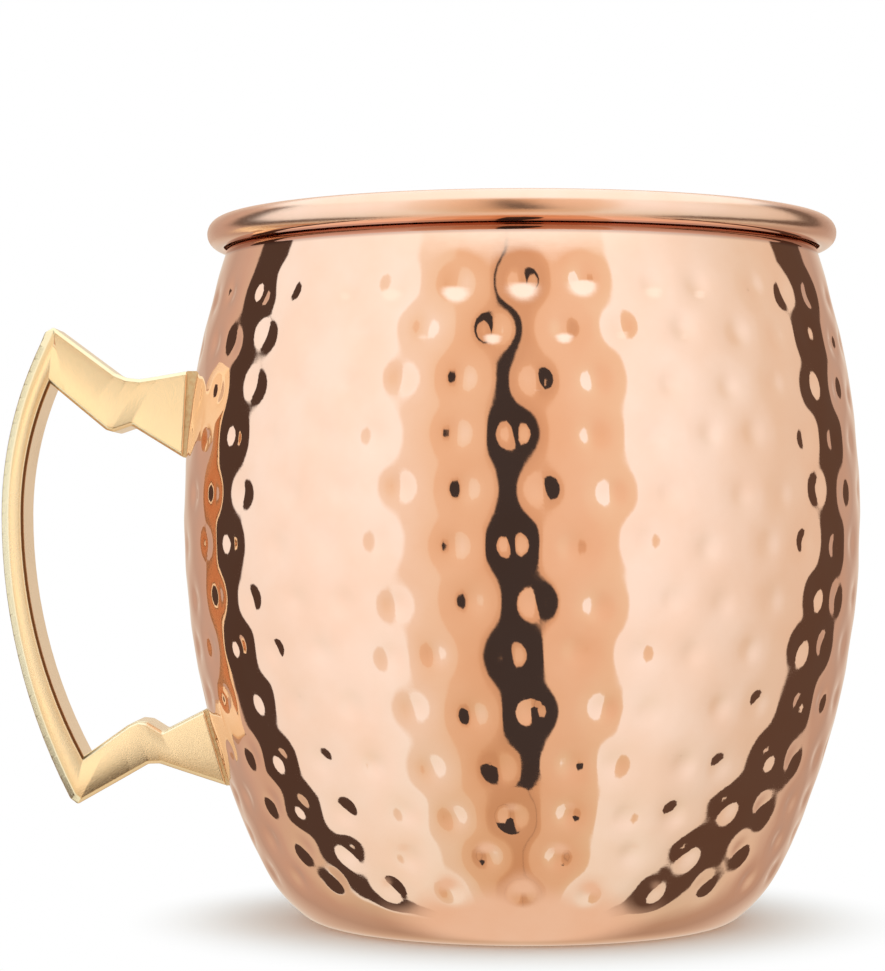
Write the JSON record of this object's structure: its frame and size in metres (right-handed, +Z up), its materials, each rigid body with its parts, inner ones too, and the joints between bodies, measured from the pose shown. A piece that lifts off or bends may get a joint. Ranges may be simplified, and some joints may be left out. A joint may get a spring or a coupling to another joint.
{
  "type": "drinking mug",
  "caption": "Barrel-shaped hammered copper mug with a rolled rim, a thin pale lining and a cast brass handle brazed on at two flared tabs.",
  "frame": {"origin": "centre of the flat base, on the surface that the mug stands on", "axes": "+Z up through the mouth; the handle stands out along -X and lies in the XZ plane; +Y is to the back when the handle is on the left"},
  "size_m": [0.1227, 0.0966, 0.1],
  "materials": {
    "copper": "bright polished copper, hand-hammered with shallow round dimples",
    "lining": "pale satin metal lining",
    "handle_brass": "cast brass, polished with a fine satin grain on the flats",
    "braze_metal": "brazing metal, smoothed and polished"
  },
  "bodies": {
    "root": {"mug_body": "copper", "inner_lining": "lining", "handle": "handle_brass", "upper_braze_seam": "braze_metal", "lower_braze_seam": "braze_metal"}
  },
  "joints": []
}
